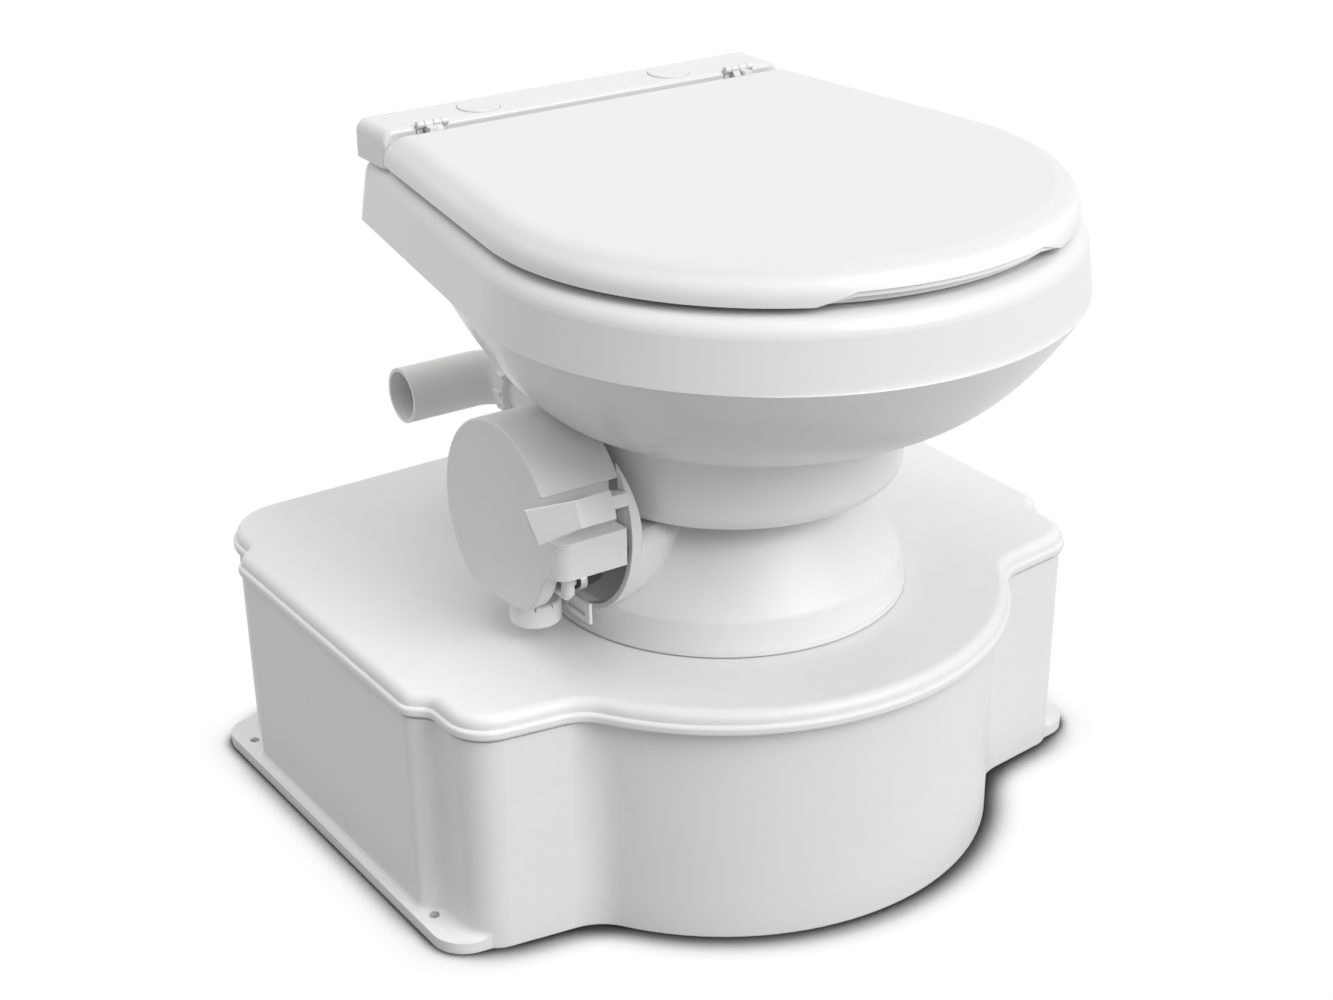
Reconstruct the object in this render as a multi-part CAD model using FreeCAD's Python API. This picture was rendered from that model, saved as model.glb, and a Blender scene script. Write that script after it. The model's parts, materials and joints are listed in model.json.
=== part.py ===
import FreeCAD, Part
import math
import os

# Frame: millimetres, +Z up, origin on the floor under the pedestal axis, front towards -Y.
# Driving dimensions.

tank_top = 181.0
deck_depth = 16.6
lip_height = 7.6
shoulder_step = 2.6
shoulder_round = 7.5
lip_round = 2.6
cover_plate = 6.5
panel_half = 278.5
notch_depth = 14.0
panel_front = -27.0
panel_rear = 233.0
step_run = 13.0
step_round = 14.0
front_corner = -88.5
front_corner_round = 32.0
shoulder_sweep = 0.141
rear_corner = 306.0
rear_corner_round = 48.0
rear_bow = 6.5
rear_bow_round = 2600.0
lobe_lip = 208.0
lobe_blend = 33.0
lobe_overhang = 10.0
side_overhang = 3.4
wall_draft = 2.6
tank_wall = 4.0
tank_floor = 5.0
tank_seal_height = 2.0
seal_inset = 0.4
flange_reach = 1.0
flange_height = 8.6
foot_round = 5.0
flange_front_step = 11.5
flange_rear_step = 16.0
flange_front_round = 25.0
flange_rear_round = 22.0
floor_hole = 3.5
hole_side = 12.0
hole_front = 42.0
hole_rear = 34.0

gasket = 1.0
foot_radius = 130.5
foot_height = 3.4
foot_step = 1.2
band_rise = 26.0
band_lean = 3.0
bell_rise = 80.7
neck_radius = 86.0
bell_cove = 14.0
band_soft = 6.0
bell_wall = 5.0
neck_plate = 7.0
inner_flange_height = 7.0
inner_flange_depth = 26.0
waste_hole = 62.0
pedestal_bolt_circle = 110.0
pedestal_bolt = 3.0
pedestal_bolt_count = 4

axis_rise = 91.0
ball_radius = 52.0
ball_wall = 4.0
ball_half_angle = 37.0
ball_gap = 0.4
seal_angle = 32.2
seal_height = 4.0
seal_outer = 46.0
bowl_bolt_circle = 66.0
bowl_bolt = 3.0
bowl_bolt_count = 4
shaft_radius = 8.0
shaft_gap = 0.05
bush_wall = 3.0
boss_wall = 6.0
boss_inner_x = -76.0
boss_set_in = 16.5
far_boss_x = 64.0
shaft_reach = 39.5

drum_radius = 76.0
drum_wall = 4.0
drum_stand = 5.7
drum_clear = 14.0
drum_ledge = 2.0
drum_core = 40.0
drum_soft = 9.0
drum_soft_bulge = 0.86
part_gap = 1.0

cover_step = 4.0
cover_depth = 58.7
cover_wall = 3.5
cover_edge = 2.0
cover_lift = 1.5
lobe_round = 50.0
lobe_centre_y = -10.0
cover_plate_lobe = 11.0
nose_reach = 6.2
nose_drop = 15.0
nose_rise = 11.6
nose_round = 11.0
recess_rise = 40.0
recess_depth = 15.0
arm_slot = 5.6
spigot_length = 9.0
spigot_gap = 0.2
screw_radius = 1.8

pad_gap = 9.6
pad_overhang = 12.4
pad_left_lean = -0.2
pad_ridge_in = 17.8
pad_width = 55.5
pad_edge = 4.2
pad_gable = 26.0
pad_edge_round = 1.2
pad_left_angles = (12.9, 30.2)
pad_ridge_angles = (18.0, 28.2)
pad_right_angles = (15.3, 28.8)
arm_thick = 3.0
arm_flare = 60.0
arm_gap = 1.2
link_reach = 2.2
link_angles = (19.5, 25.5)
hub_clear = 8.0
hub_radius = 16.0
cam_length = 6.0
cam_lift = 4.0
cam_sweep = 66.0
cam_gap = 0.9

nut_out = 35.5
nut_y = -6.0
nut_radius = 18.0
nut_clear = 14.5
nut_height = 17.0
nut_slots = 9
nut_slot_width = 1.1
nut_slot_height = 3.2
nut_slot_depth = 1.5
stem_radius = 10.0
thread_gap = 0.4
valve_radius = 11.0
valve_height = 45.5
plunger_depth = 12.0
outlet_arm_y = -60.0
outlet_arm_drop = 25.0
outlet_arm_radius = 4.5
outlet_arm_offset = -5.5
plunger_radius = 3.0
plunger_gap = 0.1
hose_radius = 6.0
hose_bore = 4.0
hose_out = 16.0
hose_bend = 10.0
hose_rear_y = 45.0
hose_rise = 28.0
hose_socket = 26.0

pipe_radius = 21.0
pipe_wall = 2.6
pipe_y = 222.0
pipe_rise = 98.0
pipe_end = -140.0
pipe_bend = 28.0
riser_x = -52.0
riser_y = 150.0
union_radius = 26.0
union_length = 13.0
union_ribs = 12
dip_clear = 14.0
riser_flange = 27.0
riser_flange_height = 6.0

collar_radius = 120.8
collar_y = -10.4
collar_rise = 91.9
collar_round = 13.0
collar_wall = 14.0
collar_height = 64.5
collar_sunk = 10.0
dish_rise = 87.6
dish_power = 2.18
dish_radius = 115.6
dish_side = 92.6
dish_front = 91.8
dish_rear = 170.4
dish_y = -30.8
dish_shift = -31.2
rim_half = 211.3
rim_front = 205.0
rim_y = -62.0
rim_taper = 9.5
rim_rear = 227.0
rim_corner = 22.0
rim_height = 47.0
rim_lean = 5.5
rim_round = 15.0
basin_half = 168.0
basin_front = -229.0
basin_rear = 138.0

lid_half = 202.0
lid_front = 199.0
lid_y = -58.0
lid_taper = 8.4
lid_rear = 168.8
lid_gap = 4.6
lid_height = 22.1
lid_round = 19.0
lid_wall = 4.0
lid_notch_half = 72.0
lid_notch_run = 26.0
lid_notch_rise = 8.0
lid_ledge = 2.2
lid_ledge_drop = 3.6
seat_inset = 10.0
seat_gap = 3.0
seat_height = 14.0
seat_round = 5.0
seat_hole_half = 118.0
seat_hole_front = -205.0
seat_hole_rear = 95.0
bumper_radius = 7.0
rest_gap = 0.3

bar_half = 168.0
bar_front = 170.2
bar_rear = 214.0
bar_round = 3.5
bar_end_round = 9.0
cap_x = 81.2
cap_y = 190.6
cap_radius = 16.0
cap_rise = 1.2
cap_depth = 3.0
hinge_y = 169.5
hinge_rise = 0.8
pin_radius = 1.3
pin_gap = 0.06
knuckle_radius = 2.6
knuckle_x = 118.0
lug_width = 5.0
seat_knuckle_width = 6.0
lid_knuckle_width = 6.5
knuckle_gap = 0.5
hinge_bolt = 4.0
nut_pocket = 16.0

# Levels and places that follow from them.

drum_face = -collar_radius - drum_stand
boss_outer_x = drum_face + boss_set_in
shaft_end = drum_face - shaft_reach
cover_end = drum_face - cover_depth
pad_left = cover_end - pad_overhang
pad_ridge = pad_left + pad_ridge_in
pad_right = pad_left + pad_width
nut_x = drum_face - nut_out
hose_x = drum_face - hose_out
lip_bottom = tank_top - deck_depth
flange_half = panel_half + flange_reach
flange_front = front_corner + flange_front_step
flange_rear = rear_corner - flange_rear_step
band_top = tank_top + band_rise
bell_top = tank_top + bell_rise
axis_z = tank_top + axis_rise
neck_top = axis_z + ball_radius * math.cos(math.radians(seal_angle))
cover_radius = drum_radius - cover_step
nose_front = -cover_radius - nose_reach
nose_bottom = axis_z - nose_drop
nose_top = axis_z + nose_rise
recess_top = axis_z + recess_rise
recess_floor = recess_depth - cover_radius
pad_inner = cover_radius + pad_gap
nut_bottom = tank_top + nut_clear
cover_flat = nut_bottom + nut_height + cover_lift
valve_top = nut_bottom + valve_height
outlet_arm_z = axis_z - outlet_arm_drop
hose_high_z = axis_z + hose_rise
pipe_z = tank_top + pipe_rise
collar_bottom = tank_top + collar_rise
dish_bottom = collar_bottom + collar_height
rim_foot_z = dish_bottom + dish_rise
rim_top = rim_foot_z + rim_height
lid_bottom = rim_top + lid_gap
lid_top = lid_bottom + lid_height
seat_bottom = rim_top + seat_gap
seat_top = seat_bottom + seat_height

Vec = FreeCAD.Vector
X = Vec(1, 0, 0)
Y = Vec(0, 1, 0)
Z = Vec(0, 0, 1)
ORIGIN = Vec(0, 0, 0)


def save(name, *solids):
    shape = solids[0] if len(solids) == 1 else Part.makeCompound(list(solids))
    shape.exportStep("parts/%s.step" % name)


def box(x0, x1, y0, y1, z0, z1):
    return Part.makeBox(x1 - x0, y1 - y0, z1 - z0, Vec(x0, y0, z0))


def rod(radius, start, end):
    along = end.sub(start)
    return Part.makeCylinder(radius, along.Length, start, along)


def tube(outer, inner, start, end):
    return rod(outer, start, end).cut(rod(inner, start, end))


def arc(first, middle, last):
    return Part.Arc(first, middle, last).toShape()


def line(first, last):
    return Part.LineSegment(first, last).toShape()


def polygon(points):
    return Part.Face(Part.makePolygon(points + [points[0]]))


def mirrored(shape):
    return shape.mirror(ORIGIN, X)


def both_sides(shape):
    return [shape, mirrored(shape)]


def edges_at(shape, z):
    """Every edge that lies wholly in the level z."""
    return [e for e in shape.Edges if abs(e.BoundBox.ZMin - z) < 1e-4 and abs(e.BoundBox.ZMax - z) < 1e-4]


def left_normal(first, last):
    along = last.sub(first)
    return Vec(-along.y, along.x, 0).normalize()


def meet(p, p_end, q, q_end):
    """The point where the line p-p_end crosses the line q-q_end."""
    a = p_end.sub(p)
    b = q_end.sub(q)
    s = (q.sub(p).cross(b).z) / (a.cross(b).z)
    return p.add(a.multiply(s))


def inset_corners(corners, inset):
    """Moves an open counter-clockwise corner path inwards and adjusts its corner radii."""
    points = [Vec(x, y, 0) for x, y, r in corners]
    sides = []
    for first, last in zip(points, points[1:]):
        shift = left_normal(first, last).multiply(inset)
        sides.append((first.add(shift), last.add(shift)))
    result = [(sides[0][0], 0.0)]
    for i in range(1, len(points) - 1):
        spot = meet(sides[i - 1][0], sides[i - 1][1], sides[i][0], sides[i][1])
        turn = points[i].sub(points[i - 1]).cross(points[i + 1].sub(points[i])).z
        radius = corners[i][2]
        result.append((spot, radius - inset if turn > 0 else radius + inset))
    result.append((sides[-1][1], 0.0))
    return result


def rounded_path(path):
    """Lines joined by tangent arcs along an open list of (point, radius)."""
    edges = []
    here = path[0][0]
    for i in range(1, len(path) - 1):
        spot, radius = path[i]
        back = path[i - 1][0].sub(spot).normalize()
        ahead = path[i + 1][0].sub(spot).normalize()
        half = back.getAngle(ahead) / 2.0
        reach = radius / math.tan(half)
        start = spot.add(Vec(back).multiply(reach))
        end = spot.add(Vec(ahead).multiply(reach))
        inward = back.add(ahead).normalize()
        middle = spot.add(inward.multiply(radius / math.sin(half) - radius))
        edges.append(line(here, start))
        edges.append(arc(start, middle, end))
        here = end
    edges.append(line(here, path[-1][0]))
    return edges


def tank_outline(inset, lobe, z):
    """The tank's plan: stepped side panels, bowed rear, swept shoulders and a round front lobe."""
    notch = panel_half - notch_depth
    inner_x = lobe_lip * 0.7
    half = [
        (inner_x, front_corner - shoulder_sweep * (notch - inner_x), 0.0),
        (notch, front_corner, front_corner_round),
        (notch, panel_front - step_run, step_round - notch_depth * 0.3),
        (panel_half, panel_front, step_round),
        (panel_half, panel_rear, step_round),
        (notch, panel_rear + step_run, step_round - notch_depth * 0.3),
        (notch, rear_corner, rear_corner_round),
    ]
    other = [(-x, y, r) for x, y, r in reversed(half)]
    path = inset_corners(half + [(0.0, rear_corner + rear_bow, rear_bow_round)] + other, inset)
    blend = lobe_blend + inset
    first = path[0][0]
    along = path[1][0].sub(first).normalize()
    outward = left_normal(path[0][0], path[1][0]).multiply(-1)
    base = first.add(Vec(outward).multiply(blend))
    half_b = base.dot(along)
    reach = -half_b + math.sqrt(half_b ** 2 - base.dot(base) + (lobe + blend) ** 2)
    centre = base.add(Vec(along).multiply(reach))
    on_line = centre.sub(Vec(outward).multiply(blend))
    on_lobe = Vec(centre).multiply(lobe / (lobe + blend))
    bulge = on_line.sub(centre).add(on_lobe.sub(centre)).normalize()
    middle = centre.add(bulge.multiply(blend))
    path[0] = (on_line, 0.0)
    path[-1] = (Vec(-on_line.x, on_line.y, 0), 0.0)
    edges = rounded_path(path)
    far_lobe = Vec(-on_lobe.x, on_lobe.y, 0)
    edges.append(arc(path[-1][0], Vec(-middle.x, middle.y, 0), far_lobe))
    edges.append(arc(far_lobe, Vec(0, -lobe, 0), on_lobe))
    edges.append(arc(on_lobe, middle, on_line))
    wire = Part.Wire(edges)
    wire.translate(Vec(0, 0, z))
    return wire


def slab(wire, height):
    return Part.Face(wire).extrude(Vec(0, 0, height))


def oval(half, front, rear, middle, z):
    """Two half ellipses that share one width: a blunt front half and a longer rear half."""
    unit = Part.Circle(ORIGIN, Z, 1.0)
    edges = []
    for start, depth in ((math.pi, middle - front), (0.0, rear - middle)):
        matrix = FreeCAD.Matrix()
        matrix.scale(half, depth, 1.0)
        matrix.move(0, middle, z)
        edges.append(Part.ArcOfCircle(unit, start, start + math.pi).toShape().transformGeometry(matrix))
    return Part.Wire(edges)


def shield(half, front, middle, taper, rear, corner, z):
    """A blunt elliptical front whose sides run back in straight tapering lines to a square rear."""
    lean = math.tan(math.radians(taper))
    t = math.atan(lean * front / half)
    matrix = FreeCAD.Matrix()
    matrix.scale(half, front, 1.0)
    matrix.move(0, middle, 0)
    unit = Part.Circle(ORIGIN, Z, 1.0)
    nose = Part.ArcOfCircle(unit, math.pi - t, 2 * math.pi + t).toShape().transformGeometry(matrix)
    side = Vec(half * math.cos(t), middle + front * math.sin(t), 0)
    rear_x = side.x - lean * (rear - side.y)
    path = [
        (side, 0.0),
        (Vec(rear_x, rear, 0), corner),
        (Vec(-rear_x, rear, 0), corner),
        (Vec(-side.x, side.y, 0), 0.0),
    ]
    wire = Part.Wire(Part.__sortEdges__([nose] + rounded_path(path)))
    wire.translate(Vec(0, 0, z))
    return wire


def around(count, radius, phase=45.0):
    turns = [math.radians(phase + 360.0 * i / count) for i in range(count)]
    return [Vec(radius * math.cos(a), radius * math.sin(a), 0) for a in turns]


def at_angle(radius, degrees):
    """(y, z) on a circle about the valve axis, counted up from the forward direction."""
    a = math.radians(degrees)
    return -radius * math.cos(a), axis_z + radius * math.sin(a)


os.makedirs("parts", exist_ok=True)

# Holding tank: drafted tub with bolting flanges, a seal and a lipped top moulding.

wall_top = lip_bottom - tank_seal_height
lobe_wall = lobe_lip - lobe_overhang


def tub(extra, low, high):
    foot = tank_outline(side_overhang + wall_draft + extra, lobe_wall - wall_draft - extra, low)
    head = tank_outline(side_overhang + extra, lobe_wall - extra, high)
    return Part.makeLoft([foot, head], True, True)


tank = tub(0.0, 0.0, wall_top)
flange_inner = panel_half - notch_depth * 3
flange_inside = flange_front - shoulder_sweep * (flange_half - flange_inner)
flange_path = [
    (Vec(flange_inner, flange_inside, 0), 0.0),
    (Vec(flange_half, flange_front, 0), flange_front_round),
    (Vec(flange_half, flange_rear, 0), flange_rear_round),
    (Vec(flange_inner, flange_rear, 0), 0.0),
]
flange_edges = rounded_path(flange_path)
flange_edges.append(line(flange_path[-1][0], flange_path[0][0]))
flange = slab(Part.Wire(flange_edges), flange_height)
tank = tank.fuse(both_sides(flange))
wall = tub(0.0, 0.0, wall_top)
wall_foot = []
for edge in edges_at(tank, flange_height):
    middle = edge.valueAt((edge.FirstParameter + edge.LastParameter) / 2)
    if wall.distToShape(Part.Vertex(middle))[0] < part_gap / 10:
        wall_foot.append(edge)
tank = tank.makeFillet(foot_round, wall_foot)
tank = tank.cut(tub(tank_wall, tank_floor, wall_top + 1.0))
for hole_y in (flange_front + hole_front, flange_rear - hole_rear):
    for hole_x in (hole_side - flange_half, flange_half - hole_side):
        tank = tank.cut(rod(floor_hole, Vec(hole_x, hole_y, -1), Vec(hole_x, hole_y, flange_height + 1)))
save("tank_body", tank.removeSplitter())

seal_path = tank_outline(side_overhang + seal_inset, lobe_wall - seal_inset, wall_top)
seal_hole = tank_outline(side_overhang + tank_wall, lobe_wall - tank_wall, wall_top)
save("tank_seal", slab(seal_path, tank_seal_height).cut(slab(seal_hole, tank_seal_height)))

lip = slab(tank_outline(0.0, lobe_lip, lip_bottom), lip_height)
lip = lip.makeFillet(lip_round, edges_at(lip, lip_bottom) + edges_at(lip, lip_bottom + lip_height))
deck_low = lip_bottom + lip_height / 2
deck = slab(tank_outline(shoulder_step, lobe_lip - shoulder_step, deck_low), tank_top - deck_low)
deck = deck.makeFillet(shoulder_round, edges_at(deck, tank_top))
cover_pocket_inset = side_overhang + tank_wall + 1.0
pocket_lobe = lobe_wall - tank_wall - 1.0
pocket_height = tank_top - cover_plate - lip_bottom
pocket = slab(tank_outline(cover_pocket_inset, pocket_lobe, lip_bottom), pocket_height)
tank_cover = lip.fuse(deck).cut(pocket)
tank_cover = tank_cover.cut(rod(waste_hole, Vec(0, 0, lip_bottom), Vec(0, 0, tank_top + 1)))
dip_radius = pipe_radius - pipe_wall
dip_foot = Vec(riser_x, riser_y, tank_floor + dip_clear)
dip_head = Vec(riser_x, riser_y, tank_top + riser_flange_height * 3)
tank_cover = tank_cover.cut(rod(dip_radius, dip_foot, dip_head))
for spot in around(pedestal_bolt_count, pedestal_bolt_circle):
    hole_low = Vec(spot.x, spot.y, lip_bottom)
    hole_high = Vec(spot.x, spot.y, tank_top + 1)
    tank_cover = tank_cover.cut(rod(pedestal_bolt, hole_low, hole_high))
save("tank_cover", tank_cover.removeSplitter())

# Pedestal: bell-shaped casting with a neck plate, an inner bolting flange and a domed valve drum.

base_z = tank_top + gasket
band_foot = base_z + foot_height
band_radius = foot_radius - foot_step
bell_foot = band_radius - band_lean


def bell_solid(inset, foot, low, high):
    """The bell: a coned flank between neck and band, moved inwards by inset, on its foot corners."""
    path = [
        (Vec(neck_radius - inset, 0, high), 0.0),
        (Vec(neck_radius - inset, 0, bell_top), bell_cove + inset),
        (Vec(bell_foot - inset, 0, band_top), band_soft),
        (foot[-1], 0.0),
    ]
    rim_spots = [path[0][0], Vec(0, 0, high), Vec(0, 0, low)] + foot
    edges = [line(a, b) for a, b in zip(rim_spots, rim_spots[1:])]
    return Part.Face(Part.Wire(Part.__sortEdges__(edges + rounded_path(path)))).revolve(ORIGIN, Z, 360)


outer_foot = [
    Vec(foot_radius, 0, base_z),
    Vec(foot_radius, 0, band_foot),
    Vec(band_radius, 0, band_foot),
]
bell = bell_solid(0.0, outer_foot, base_z, neck_top)
chamber_foot = [Vec(band_radius - bell_wall, 0, base_z)]
chamber = bell_solid(bell_wall, chamber_foot, base_z, neck_top - neck_plate)
ring_flange = tube(
    band_radius - bell_wall / 2,
    band_radius - bell_wall - inner_flange_depth,
    Vec(0, 0, base_z),
    Vec(0, 0, base_z + inner_flange_height),
)
plate_hole = math.sqrt((ball_radius + part_gap) ** 2 - (neck_top - neck_plate - axis_z) ** 2) + 0.5


def bowl_envelope(gap):
    """The bowl's neck and dish, grown by a gap, that the valve drum and its cover keep clear of."""
    neck = rod(
        collar_radius + gap,
        Vec(0, collar_y, collar_bottom - gap),
        Vec(0, collar_y, dish_bottom + dish_rise),
    )
    lowest = neck.Edges[0]
    for edge in neck.Edges:
        if edge.BoundBox.ZMax < lowest.BoundBox.ZMax:
            lowest = edge
    neck = neck.makeFillet(collar_round, [lowest])
    return neck.fuse(dish_solid(gap))


def dish_section(g, gap):
    half = dish_radius + dish_side * g + gap
    middle = dish_y + dish_shift * g
    front = middle - dish_radius - dish_front * g - gap
    rear = middle + dish_radius + dish_rear * g + gap
    return oval(half, front, rear, middle, dish_bottom + dish_rise * g ** dish_power - gap)


def dish_solid(gap):
    sections = [dish_section(g, gap) for g in (0.0, 0.12, 0.3, 0.5, 0.7, 0.86, 1.0)]
    return Part.makeLoft(sections, True, False)


drum_centre = Vec(drum_face, 0, axis_z)
drum_low = axis_z - drum_radius
ledge_z = collar_bottom - drum_ledge


def drum_dome(inset):
    """Half a ball moved inwards by inset, with a soft-edged ledge by the bowl and a core on the shaft."""
    radius = drum_radius - inset
    soft = drum_soft - inset
    ledge = ledge_z - inset - axis_z
    soft_z = ledge - soft
    soft_side = math.sqrt((radius - soft) ** 2 - soft_z ** 2)
    soft_tilt = math.atan2(soft_z, soft_side)
    soft_turn = (soft_tilt + math.pi / 2) / 2
    ball_turn = (soft_tilt - math.pi / 2) / 2
    bottom = Vec(0, 0, -radius)
    ball_mid = Vec(radius * math.cos(ball_turn), 0, radius * math.sin(ball_turn))
    touch = Vec(radius * math.cos(soft_tilt), 0, radius * math.sin(soft_tilt))
    bulge = soft * drum_soft_bulge
    soft_mid = Vec(soft_side + bulge * math.cos(soft_turn), 0, soft_z + bulge * math.sin(soft_turn))
    shelf = Vec(soft_side, 0, ledge)
    middle = Vec(0, 0, ledge)
    outline = [
        arc(bottom, ball_mid, touch),
        arc(touch, soft_mid, shelf),
        line(shelf, middle),
        line(middle, bottom),
    ]
    low = Part.Face(Part.Wire(outline)).revolve(ORIGIN, Z, 360)
    low.translate(drum_centre)
    room = rod(
        collar_radius + drum_clear + inset,
        Vec(0, collar_y, drum_low - 1),
        Vec(0, collar_y, rim_top),
    )
    ball = Part.makeSphere(radius, drum_centre)
    core = rod(drum_core - inset, drum_centre, Vec(0, 0, axis_z)).common(ball)
    dome = ball.cut(room).fuse(low.common(room)).fuse(core)
    return dome.common(box(drum_face, 0, -drum_radius, drum_radius, drum_low, axis_z + drum_radius))


drum = drum_dome(0.0).cut(drum_dome(drum_wall)).cut(bowl_envelope(part_gap))
hose_entry = Vec(drum_face - 1, hose_rear_y, hose_high_z)
drum = drum.cut(rod(hose_radius + part_gap, hose_entry, Vec(0, hose_rear_y, hose_high_z)))
boss_radius = shaft_radius + bush_wall + boss_wall
bush_radius = shaft_radius + bush_wall
pedestal = bell.fuse(drum).cut(chamber)
pedestal = pedestal.fuse(ring_flange)
pedestal = pedestal.fuse(rod(boss_radius, Vec(boss_outer_x, 0, axis_z), Vec(boss_inner_x, 0, axis_z)))
far_wall = neck_radius - bell_wall / 2
pedestal = pedestal.fuse(rod(boss_radius, Vec(far_boss_x, 0, axis_z), Vec(far_wall, 0, axis_z)))
far_stop = neck_radius - bell_wall
pedestal = pedestal.cut(rod(bush_radius, Vec(boss_outer_x - 1, 0, axis_z), Vec(far_stop, 0, axis_z)))
pedestal = pedestal.cut(rod(plate_hole, Vec(0, 0, neck_top - neck_plate - 1), Vec(0, 0, neck_top + 1)))
for spot in around(pedestal_bolt_count, pedestal_bolt_circle):
    hole_high = Vec(spot.x, spot.y, base_z + inner_flange_height + 1)
    pedestal = pedestal.cut(rod(pedestal_bolt, Vec(spot.x, spot.y, base_z - 1), hole_high))
for spot in around(bowl_bolt_count, bowl_bolt_circle):
    hole_low = Vec(spot.x, spot.y, neck_top - neck_plate - 1)
    pedestal = pedestal.cut(rod(bowl_bolt, hole_low, Vec(spot.x, spot.y, neck_top + 1)))
drum_screw_x = drum_face + spigot_length / 2
drum_screw_angles = (192.0, 208.0)


def drum_screw(angle, radius, inner, outer):
    y0, z0 = at_angle(inner, angle)
    y1, z1 = at_angle(outer, angle)
    return rod(radius, Vec(drum_screw_x, y0, z0), Vec(drum_screw_x, y1, z1))


for angle in drum_screw_angles:
    pedestal = pedestal.cut(drum_screw(angle, screw_radius, drum_radius - 12, drum_radius + 2))
save("pedestal", pedestal.removeSplitter())

pedestal_gasket = tube(
    band_radius - 2.0,
    band_radius - bell_wall - inner_flange_depth,
    Vec(0, 0, tank_top),
    Vec(0, 0, base_z),
)
bolts = []
bolt_seat = tank_top - cover_plate
for spot in around(pedestal_bolt_count, pedestal_bolt_circle):
    low = Vec(spot.x, spot.y, bolt_seat)
    high = Vec(spot.x, spot.y, base_z + inner_flange_height)
    pedestal_gasket = pedestal_gasket.cut(rod(pedestal_bolt, low, high))
    head = rod(pedestal_bolt * 2, low.sub(Vec(0, 0, pedestal_bolt)), low)
    nut = tube(pedestal_bolt * 2, pedestal_bolt, high, high.add(Vec(0, 0, pedestal_bolt * 1.6)))
    bolts.append(rod(pedestal_bolt, low, high.add(Vec(0, 0, pedestal_bolt * 2))).fuse(head).fuse(nut))
save("pedestal_gasket", pedestal_gasket)
save("pedestal_bolts", *bolts)

# Waste valve: a spherical cap on a cross shaft closes the bowl outlet from below.

seal_top = neck_top + seal_height
outlet = math.sqrt((ball_radius + ball_gap) ** 2 - (neck_top - axis_z) ** 2)
save("ball_seal", tube(seal_outer, outlet, Vec(0, 0, neck_top), Vec(0, 0, seal_top)))
bowl_gasket = tube(neck_radius - 2, seal_outer + 2, Vec(0, 0, neck_top), Vec(0, 0, seal_top))
bowl_bolts = []
bolt_reach = 9.0
for spot in around(bowl_bolt_count, bowl_bolt_circle):
    low = Vec(spot.x, spot.y, neck_top - neck_plate)
    bowl_gasket = bowl_gasket.cut(rod(bowl_bolt, low, Vec(spot.x, spot.y, seal_top)))
    head = rod(bowl_bolt * 2, low.sub(Vec(0, 0, bowl_bolt)), low)
    bowl_bolts.append(rod(bowl_bolt, low, Vec(spot.x, spot.y, seal_top + bolt_reach)).fuse(head))
save("bowl_gasket", bowl_gasket)
save("bowl_bolts", *bowl_bolts)

centre = Vec(0, 0, axis_z)
cap_cone = Part.makeCone(
    0.0,
    ball_radius * 2 * math.tan(math.radians(ball_half_angle)),
    ball_radius * 2,
    centre,
    Z,
)
shell = Part.makeSphere(ball_radius, centre).cut(Part.makeSphere(ball_radius - ball_wall, centre))
cap = shell.common(cap_cone)
ear_x = ball_radius * math.sin(math.radians(ball_half_angle))
ear_top = axis_z + ball_radius * math.cos(math.radians(ball_half_angle)) - ball_wall
ear_width = shaft_radius * 2.6
ears = []
for side in (-1, 1):
    inner = side * (ear_x - ball_wall * 2)
    outer = side * (ear_x - ball_wall)
    x0 = min(inner, outer)
    plate = box(x0, x0 + ball_wall, -ear_width / 2, ear_width / 2, axis_z, ear_top + ball_wall)
    round_end = rod(ear_width / 2, Vec(x0, 0, axis_z), Vec(x0 + ball_wall, 0, axis_z))
    ears.append(plate.fuse(round_end))
ball = cap.fuse(ears)
ball = ball.common(Part.makeSphere(ball_radius, centre))
shaft_far = far_stop - part_gap
shaft = rod(shaft_radius, Vec(shaft_end, 0, axis_z), Vec(shaft_far, 0, axis_z))
ball = ball.cut(shaft)
save("waste_ball", ball.removeSplitter())
save("ball_shaft", shaft)
bush_bore = shaft_radius + shaft_gap
near_bush = tube(bush_radius, bush_bore, Vec(boss_outer_x, 0, axis_z), Vec(boss_inner_x, 0, axis_z))
far_bush = tube(bush_radius, bush_bore, Vec(far_boss_x, 0, axis_z), Vec(far_stop, 0, axis_z))
save("shaft_bushings", near_bush, far_bush)
seal_out = Vec(boss_inner_x + bush_wall * 1.5, 0, axis_z)
seal_in = Vec(boss_inner_x, 0, axis_z)
save("shaft_seal", tube(bush_radius + bush_wall, shaft_radius + ball_gap, seal_in, seal_out))

# Foot pedal: gabled pad on a side arm, clamped to the shaft with a return spring behind it.

arm_right = drum_face - arm_gap
arm_left = arm_right - arm_thick
hub = rod(hub_radius, Vec(shaft_end, 0, axis_z), Vec(arm_right, 0, axis_z))
arm_low, arm_high = link_angles
arm_points = [
    Vec(arm_left, *at_angle(hub_radius, arm_high + arm_flare)),
    Vec(arm_left, *at_angle(pad_inner, arm_high)),
    Vec(arm_left, *at_angle(pad_inner + link_reach, arm_high)),
    Vec(arm_left, *at_angle(pad_inner + link_reach, arm_low)),
    Vec(arm_left, *at_angle(pad_inner, arm_low)),
    Vec(arm_left, *at_angle(hub_radius, arm_low - arm_flare)),
]
arm = polygon(arm_points).extrude(Vec(arm_thick, 0, 0))


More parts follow.
